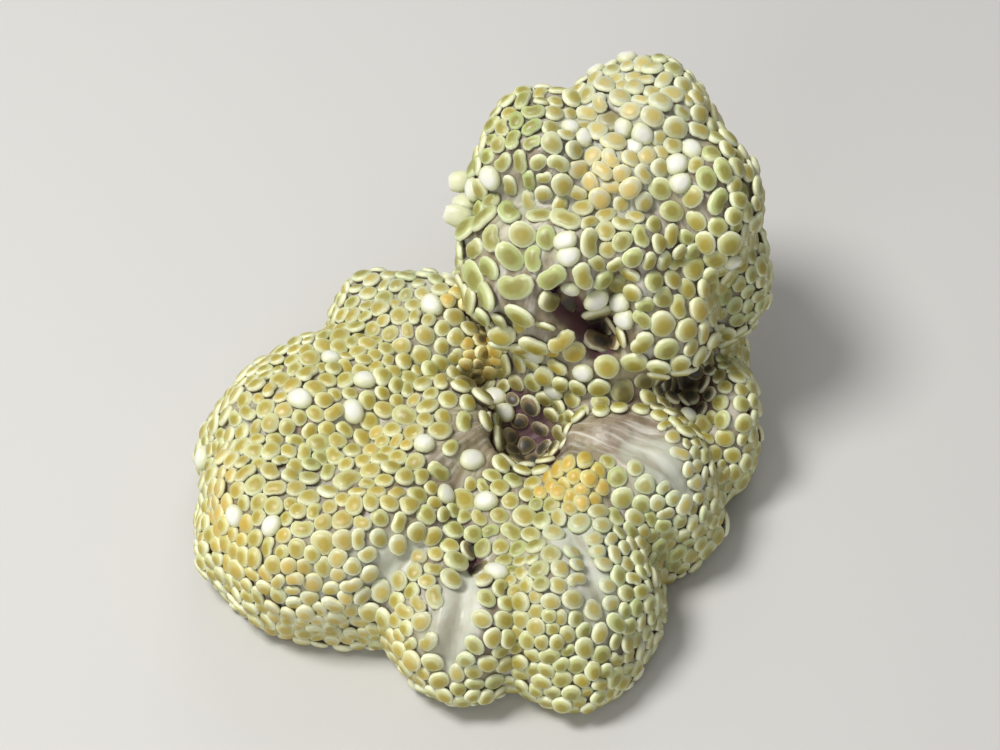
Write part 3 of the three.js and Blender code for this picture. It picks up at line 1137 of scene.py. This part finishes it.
# places on a bead's map: 0 in the middle, 1 at the rim, and more below it
CORE_START, CORE_END, CORE_SPREAD = 0.30, 0.78, 0.2
CORE_SHIFT, CORE_TO_SHADED_SIDE = (0.08, 0.08, 0), (0.12, 0, 0)  # its own way, and away from the light, as painted light
CORE_WANDER, CORE_NOISE = 0.26, 1100
RIM_INSIDE, RIM_OUTSIDE, UNDERSIDE = (0.74, 0.95), (1.04, 1.22), (1.08, 1.28)
RIM_WARMTH, RIM_SHADE = 0.6, 0.55  # how much of the bead's warmth and shade its rim takes
SPECK_STRETCH, SPECK_REACH = (3.0, 9.0, 1.0), (0.1, 0.5, 0.75, 0)
OWN_TURN, OWN_LIGHT = 44, 17  # these stir a bead's own number into others like it
OWN_WARMTH, OWN_MILK = 0.8, 0.5
BEAD_GLOSS = {
    "Subsurface Weight": 0.4,
    "Subsurface Radius": (1.0, 0.85, 0.45),
    "Subsurface Scale": 0.9 * MM,
    "Coat Weight": 0.16,
    "Coat Roughness": 0.3,
}

# %% A core and a rim on the bead's map
bead_finish, paint, shader = new_material("bead_finish", BEAD_GLOSS)
own, shade, pearl = (paint.attribute(name) for name in ("own", "shade", "pearl"))
bead_map = paint.add("UVMap", uv_map="bead")[0]
outwards = paint.vector("LENGTH", bead_map)

turn = paint.math("MULTIPLY", own, OWN_TURN)
ahead, aside = paint.math("COSINE", turn), paint.math("SINE", turn)
core_way = paint.add("CombineXYZ", {"X": ahead, "Y": aside})[0]
# the core sits off the middle towards the side away from the light, so the lit side stays pale:
# painted light
core_middle = paint.vector("MULTIPLY_ADD", core_way, CORE_SHIFT, CORE_TO_SHADED_SIDE)
from_core = paint.vector("LENGTH", paint.vector("SUBTRACT", bead_map, core_middle))
core_noise = paint.noise(CORE_NOISE, 3)
wander = paint.math("MULTIPLY_ADD", core_noise, CORE_WANDER, -CORE_WANDER / 2)
from_core = paint.math("ADD", from_core, wander)
core_edge = paint.math("MULTIPLY_ADD", own, CORE_SPREAD, CORE_END)
core = paint.ramp(from_core, CORE_START, core_edge, 1, 0)

# %% The core's colours
own_warmth = paint.math("MULTIPLY_ADD", own, OWN_WARMTH, -OWN_WARMTH / 2)
warmth = paint.math("ADD", paint.attribute("warmth"), own_warmth)
core_colour = paint.blend(paint.ramp(warmth, -0.7, 0.25), OLIVE, YELLOW)
core_colour = paint.blend(paint.ramp(warmth, 0.25, 1.3), core_colour, GOLD)
speck_place = paint.vector("MULTIPLY", bead_map, SPECK_STRETCH)
speck_place = paint.vector("ADD", speck_place, core_way)
specks = paint.ramp(paint.noise(1.0, 3, speck_place), 0.52, 0.75)
specks = paint.math("MULTIPLY", specks, paint.ramp(from_core, *SPECK_REACH))
core_colour = paint.blend(specks, core_colour, SPECK)
milk = paint.math("MULTIPLY_ADD", own, OWN_MILK, paint.attribute("milk"))
core_colour = paint.blend(paint.ramp(milk, 0.3, 1.6, 0, 0.6), core_colour, MILKY_CORE)
# in a crease or pit the core is darkened: painted shade
core_colour = paint.blend(paint.ramp(shade, 0.42, 0.72), core_colour, PIT_CORE_SHADE)

# %% Body, rim, underside and pearls
body = paint.group(body_tint, Colour=HALO, Warmth=warmth, Milk=milk, Shade=shade)
# the rim: its own pale colour and painted glow, taking only part of the painted shade
rim_warmth = paint.math("MULTIPLY", warmth, RIM_WARMTH)
rim_shade = paint.math("MULTIPLY", shade, RIM_SHADE)
rim_and_glow_colour = paint.group(body_tint, Colour=RIM_AND_GLOW, Warmth=rim_warmth, Milk=0.0, Shade=rim_shade)
rim_inside = paint.ramp(outwards, *RIM_INSIDE)
rim = paint.math("MULTIPLY", rim_inside, paint.ramp(outwards, *RIM_OUTSIDE, 1, 0))
colour = paint.blend(rim, paint.blend(core, body, core_colour), rim_and_glow_colour)
own_light = paint.math("FRACT", paint.math("MULTIPLY", own, OWN_LIGHT))
colour = paint.blend(paint.ramp(own_light, 0, 1, 0.4, 0), colour, DIMMED, "MULTIPLY")
# under the rim the bead is painted dark: painted shade
colour = paint.blend(paint.ramp(outwards, *UNDERSIDE), colour, UNDER_SHADE)
pearl_colour = paint.blend(paint.ramp(outwards, 0.3, 1.05), PEARL, PEARL_EDGE)
colour = paint.blend(pearl, colour, pearl_colour)
grain = paint.group(living_grain, Scale=1500.0, Strength=0.25, Height=0.0)
paint.feed(shader["Base Color"], colour)
paint.feed(shader["Roughness"], paint.ramp(paint.noise(700), 0.3, 0.7, 0.38, 0.54))
paint.feed(shader["Normal"], grain)
print("the bead material has", len(paint.tree.nodes), "nodes")

# %% [markdown]
# ### The skin material
# Between the beads the skin is thin, moist and grey lilac. It turns milky where it is
# stretched over a crown, and is painted purple brown in a crease as painted shade. Fine
# pale lines, which are muscle showing through, gather towards the pit and towards the
# crown of the fist.

# %% Skin material
LILAC, SAND, MOTTLE = (0.33, 0.265, 0.20), (0.40, 0.35, 0.22), (0.20, 0.165, 0.10)
LINE, BETWEEN = (0.74, 0.73, 0.66), (0.72, 0.64, 0.58)
# painted shade for the deepest creases and the pit
DEEP_SHADE = (0.13, 0.058, 0.07)
FINENESS = 16.0  # how many lines run out from a centre
FIST_SEAM = (FIST_HEIGHT - 1 * MM, FIST_HEIGHT + 2 * MM)  # from the pit's lines to the fist's
SKIN_WARMTH, CLOUD_MILK = 0.5, (0.8, -0.2)
SKIN_GLOSS = {
    "Subsurface Weight": 0.3,
    "Subsurface Radius": (1.0, 0.6, 0.45),
    "Subsurface Scale": 1.5 * MM,
    "Coat Weight": 0.15,
    "Coat Roughness": 0.4,
}

skin_finish, paint, shader = new_material("skin_finish", SKIN_GLOSS)
place, shade = paint.place(), paint.attribute("shade")
low_lines, high_lines = (
    paint.group(gathers, Place=place, Centre=tuple(centre), Fineness=FINENESS)
    for centre in (PIT, CROWN)
)
height = paint.add("SeparateXYZ", {0: place})["Z"]
lines = paint.blend(paint.ramp(height, *FIST_SEAM), low_lines, high_lines)
cloud = paint.noise(110, 4)
colour = paint.blend(paint.ramp(cloud, 0.35, 0.65), LILAC, SAND)
colour = paint.blend(paint.ramp(paint.noise(620, 5), 0.46, 0.68, 0, 0.75), colour, MOTTLE)
cloud_milk = paint.math("MULTIPLY_ADD", cloud, *CLOUD_MILK)
colour = paint.group(
    body_tint,
    Colour=colour,
    Warmth=paint.math("MULTIPLY", paint.attribute("warmth"), SKIN_WARMTH),
    Milk=paint.math("ADD", paint.attribute("milk"), cloud_milk),
    Shade=shade,
)
line_fade = paint.ramp(shade, 0.25, 0.65, 0.55, 0.1)
line_share = paint.math("MULTIPLY", paint.ramp(lines, 0.5, 0.68), line_fade)
colour = paint.blend(line_share, colour, LINE)
colour = paint.blend(paint.ramp(lines, 0.34, 0.5, 0.7, 0), colour, BETWEEN, "MULTIPLY")
# the deepest creases and the pit are painted dark purple: painted shade
colour = paint.blend(paint.ramp(shade, 0.58, 0.9), colour, DEEP_SHADE)
grain = paint.group(living_grain, Scale=900.0, Strength=0.45, Height=lines)
paint.feed(shader["Base Color"], colour)
paint.feed(shader["Roughness"], paint.ramp(lines, 0.3, 0.7, 0.36, 0.5))
paint.feed(shader["Normal"], grain)
print("the skin material has", len(paint.tree.nodes), "nodes")

# %% Put the layers on the frame
skin.data.materials.clear()
skin.data.materials.append(skin_finish)
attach(skin, "root")
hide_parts(*node_names)
for coat in coats:
    coat.data.materials.append(bead_finish)
    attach(coat, "root")

# %% [markdown]
# ## Floor and light
# A pale, matt floor and large soft lamps show the form. The floor is a little darker than
# the beads' rims, so that the pale outline stays readable against it.

# %% Floor and lamps
FLOOR_COLOUR, FLOOR_SIZE = (0.58, 0.57, 0.55), 1.2
# name: (place in m, width in m, power in W, colour)
LAMPS = {
    "key": ((-0.26, -0.03, 0.57), 0.20, 3.3, (1.0, 0.99, 0.97)),
    "fill": ((-0.24, -0.48, 0.26), 0.35, 0.8, (0.97, 0.98, 1.0)),
    "back": ((0.10, 0.55, 0.50), 0.35, 0.7, (1.0, 1.0, 1.0)),
}
WORLD_COLOUR, WORLD_STRENGTH = (0.93, 0.94, 0.95, 1), 0.32

floor_mesh = bmesh.new()
bmesh.ops.create_grid(floor_mesh, x_segments=1, y_segments=1, size=FLOOR_SIZE)
floor = object_from(floor_mesh, "floor")
floor_finish, paint, shader = new_material("floor_finish", {"Roughness": 0.8})
paint.feed(shader["Base Color"], FLOOR_COLOUR)
floor.data.materials.append(floor_finish)
for name, (place, width, power, colour) in LAMPS.items():
    data = bpy.data.lights.new(name, "AREA")
    data.shape, data.size, data.energy, data.color = "DISK", width, power, colour
    lamp = in_scene(name, data)
    lamp.location = place
    lamp.rotation_euler = (LOOK_AT - Vector(place)).to_track_quat("-Z", "Y").to_euler()
world = bpy.data.worlds.new("studio")
world.use_nodes = True
sky = world.node_tree.nodes["Background"].inputs
sky["Color"].default_value, sky["Strength"].default_value = WORLD_COLOUR, WORLD_STRENGTH
bpy.context.scene.world = world
bpy.context.scene.view_settings.view_transform = "Standard"
